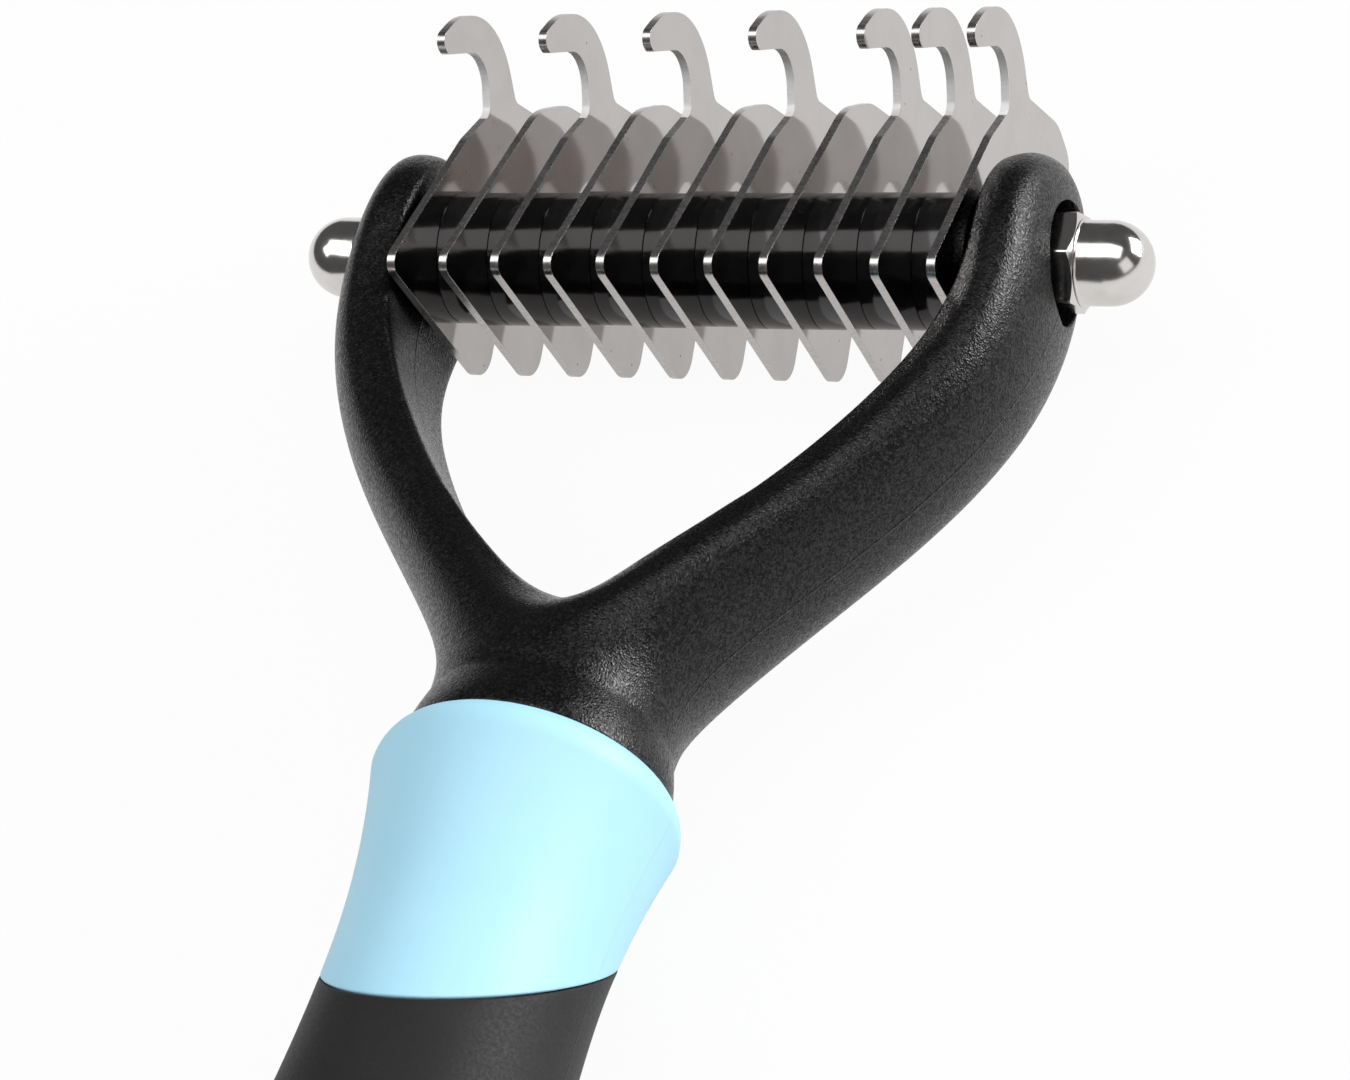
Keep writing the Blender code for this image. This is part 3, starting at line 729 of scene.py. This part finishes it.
def fork_cage():
    """Half of the fork as a coarse cage that is open at the middle plane, mirrored and subdivided."""
    swell = 3 / (2 + math.cos(math.pi / 4))
    work = bmesh.new()

    def half_ring(radius, position):
        turns = [index * math.pi / 4 for index in range(5)]
        return [work.verts.new((radius * swell * math.sin(turn), position, radius * swell * math.cos(turn)))
                for turn in turns]

    def full_ring(middle, outward, thickness, depth, ridge):
        outwards = Vector((*outward, 0.0)).normalized() * thickness * swell
        return [work.verts.new(Vector((*middle, depth * swell * up)) + outwards * across)
                for across, up in arm_section(ridge)]

    def join(lower, upper):
        count = len(lower)
        for index in range(count if count == 8 else count - 1):
            after = (index + 1) % count
            work.faces.new((lower[index], lower[after], upper[after], upper[index]))

    neck_rings = (half_ring(LIP_RADIUS, -LIP_END), half_ring(LIP_RADIUS, -LIP_START),
                  half_ring(NECK_RADIUS, -NECK_LOW), half_ring(NECK_RADIUS, -NECK_HIGH))
    for lower, upper in zip(neck_rings, neck_rings[1:]):
        join(lower, upper)
    crotch = [work.verts.new((0.0, -CROTCH_DROP - sag, height)) for sag, height in
              (CROTCH_BACK, (-CROTCH_RISE, 0.0), CROTCH_TOP)]
    rings = [neck_rings[-1] + crotch] + [full_ring(*station) for station in arm_stations()]
    crease = work.edges.layers.float.new("crease_edge")
    sharpness = [RIDGE_CREASE, RIDGE_CREASE] + [INNER_EDGE_CREASE] * len(rings)
    for lower, upper, amount in zip(rings, rings[1:], sharpness):
        join(lower, upper)
        work.edges.get((lower[5], upper[5]))[crease] = INNER_EDGE_CREASE
        work.edges.get((lower[7], upper[7]))[crease] = amount
    for corners in ((7, 0, 1, 2), (7, 2, 3, 6), (6, 3, 4, 5)):
        work.faces.new([rings[-1][index] for index in corners])
    bottom = neck_rings[0]
    for ring, amount in ((bottom, LIP_CREASE), (neck_rings[2], NECK_CREASE)):
        for first, second in zip(ring, ring[1:]):
            work.edges.get((first, second))[crease] = amount
    hub = work.verts.new((0.0, bottom[0].co.y, 0.0))
    for first, second in ((0, 1), (2, 3)):
        work.faces.new((hub, bottom[first + 2], bottom[second], bottom[first]))
    bmesh.ops.recalc_face_normals(work, faces=work.faces)
    bmesh.ops.translate(work, verts=work.verts, vec=AXLE)
    mesh = bpy.data.meshes.new("fork_frame_moulded")
    work.to_mesh(mesh)
    work.free()
    cage = helper("fork_frame_moulded", mesh)
    mirror = cage.modifiers.new("mirror", "MIRROR")
    mirror.merge_threshold = 1e-5
    soft = cage.modifiers.new("soft", "SUBSURF")
    soft.levels = 4
    soft.render_levels = 4
    return helper("fork_frame_moulded", evaluated_mesh(cage, "fork_frame_moulded"))


def make_fork(material):
    fork = fork_cage()
    tools = []

    def use(name, profile, axis, operation):
        tool = helper(name, turned(name, profile, axis, 96))
        tools.append(tool)
        cut(fork, tool, operation)

    tang = [(0.0, -TANG_START), (TANG_RADIUS, -TANG_START), (TANG_RADIUS, -TANG_END), (0.0, -TANG_END)]
    use("tang", tang, "Y", "UNION")
    flare = RECESS_FLARE
    for side in (-1, 1):
        boss = [(0.0, side * BOSS_FACE)]
        centre = (BOSS_RADIUS - BOSS_EDGE, side * (BOSS_FACE + BOSS_EDGE))
        boss += arc(centre, BOSS_EDGE, -90 * side, 0, 4)
        boss += [(BOSS_RADIUS, side * ARM_CENTRE), (0.0, side * ARM_CENTRE)]
        use("boss", boss, "X", "UNION")
    reach = ARM_OUTER + OVERCUT
    rim = ARM_OUTER - RECESS_RIM_DROP
    for side in (-1, 1):
        recess = [(0.0, side * NUT_SEAT), (RECESS_RADIUS, side * NUT_SEAT)]
        recess.append((RECESS_RADIUS, side * (rim - flare)))
        for number in range(1, 7):
            swing = math.pi / 2 * number / 6
            radius = RECESS_RADIUS + flare * (1 - math.cos(swing))
            recess.append((radius, side * (rim - flare * (1 - math.sin(swing)))))
        recess += [(RECESS_RADIUS + flare, side * reach), (0.0, side * reach)]
        use("recess", recess, "X", "DIFFERENCE")
    bore = [(0.0, -reach), (HOLE_RADIUS, -reach), (HOLE_RADIUS, reach), (0.0, reach)]
    use("bore", bore, "X", "DIFFERENCE")
    mesh = evaluated_mesh(fork, "fork_frame_moulded")
    for tool in tools:
        bpy.data.objects.remove(tool, do_unlink=True)
    add_piece("fork_frame_moulded", shade(mesh, 30), material, "handle", "fork_plastic", "fork_frame")


def make_floor():
    """A plain pale floor that shows as white, also in the metal, and keeps the object's shadow."""
    mesh = bpy.data.meshes.new("floor")
    reach = 6.0
    corners = [(along * reach, across * reach, -FLOOR_DROP)
               for along, across in ((-1, -1), (1, -1), (1, 1), (-1, 1))]
    mesh.from_pydata(corners, [], [(0, 1, 2, 3)])
    floor = helper("floor", mesh)
    material = bpy.data.materials.new("pale_floor")
    material.use_nodes = True
    tree = material.node_tree
    tree.nodes.clear()
    path = add(tree, "ShaderNodeLightPath")
    glossy = path.outputs["Is Glossy Ray"]
    mirrored = math_node(tree, "MAXIMUM", glossy, path.outputs["Is Transmission Ray"])
    direct = math_node(tree, "MULTIPLY", path.outputs["Is Camera Ray"], 0.95)
    share = math_node(tree, "MAXIMUM", direct, math_node(tree, "MULTIPLY", mirrored, 0.75))
    plain = add(tree, "ShaderNodeBsdfDiffuse", Color=(0.80, 0.80, 0.80, 1.0))
    white = add(tree, "ShaderNodeEmission", Color=(1.0, 1.0, 1.0, 1.0), Strength=1.0)
    mix = add(tree, "ShaderNodeMixShader")
    out = add(tree, "ShaderNodeOutputMaterial")
    tree.links.new(share, mix.inputs["Fac"])
    tree.links.new(plain.outputs["BSDF"], mix.inputs[1])
    tree.links.new(white.outputs["Emission"], mix.inputs[2])
    tree.links.new(mix.outputs["Shader"], out.inputs["Surface"])
    mesh.materials.append(material)


def add_lamp(name, offset, size, glow, target=(0.0, -0.02, 0.0)):
    """A soft box of the given width and height that shows with the given brightness, where 1 is white."""
    lamp = bpy.data.lights.new(name, "AREA")
    lamp.shape = "RECTANGLE"
    lamp.size, lamp.size_y = size
    lamp.energy = glow * math.pi * size[0] * size[1]
    thing = bpy.data.objects.new(name, lamp)
    thing.location = AXLE + Vector(offset)
    aim = AXLE + Vector(target) - thing.location
    thing.rotation_euler = aim.to_track_quat("-Z", "Y").to_euler()
    bpy.context.scene.collection.objects.link(thing)


def make_lights():
    add_lamp("overhead", (0.0, -0.09, 0.62), (1.00, 0.40), 2.5)
    add_lamp("right", (0.66, 0.40, 0.22), (0.50, 0.36), 11.0)
    add_lamp("front", (0.66, -0.36, 0.30), (0.44, 0.44), 0.9)
    add_lamp("left", (-0.52, -0.21, 0.60), (0.36, 0.30), 3.0)
    world = bpy.data.worlds.new("studio")
    bpy.context.scene.world = world
    world.use_nodes = True
    world.node_tree.nodes["Background"].inputs["Color"].default_value = (0.09, 0.09, 0.092, 1.0)
    world.node_tree.nodes["Background"].inputs["Strength"].default_value = 1.0


def make_camera():
    """The photo's camera, with its focal length in pixels of the photo and its place from the axle."""
    focal, width = 4084.34, 1350
    lens = bpy.data.cameras.new("photo_camera")
    lens.sensor_width = 36.0
    lens.lens = focal / width * lens.sensor_width
    lens.clip_start = 0.01
    camera = bpy.data.objects.new("photo_camera", lens)
    right = Vector((0.92466964, 0.26231752, -0.27599921))
    up = Vector((-0.0327234, 0.77690783, 0.62876339))
    back = Vector((0.37936161, -0.57236679, 0.72696701))
    place_at = AXLE + Vector((0.1350456, -0.2278567, 0.2490767))
    turn = Matrix((right, up, back)).transposed().to_4x4()
    camera.matrix_world = Matrix.Translation(place_at) @ turn
    bpy.context.scene.collection.objects.link(camera)
    bpy.context.scene.camera = camera


make_camera()
make_lights()
make_floor()
make_fork(fork_material())
make_collar(collar_material())
make_rear_grip(grip_material())
nut = nut_material()
make_nut("cap_nut_left_plated", -1, nut)
make_nut("cap_nut_right_plated", 1, nut)
make_blades(steel_material(), edge_material(), ground_sheen_material())
make_spacers(spacer_material())
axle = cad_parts["axle_rod"]
axle.data.materials.clear()
axle.data.materials.append(axle_material())
bpy.context.scene.view_settings.view_transform = "Standard"
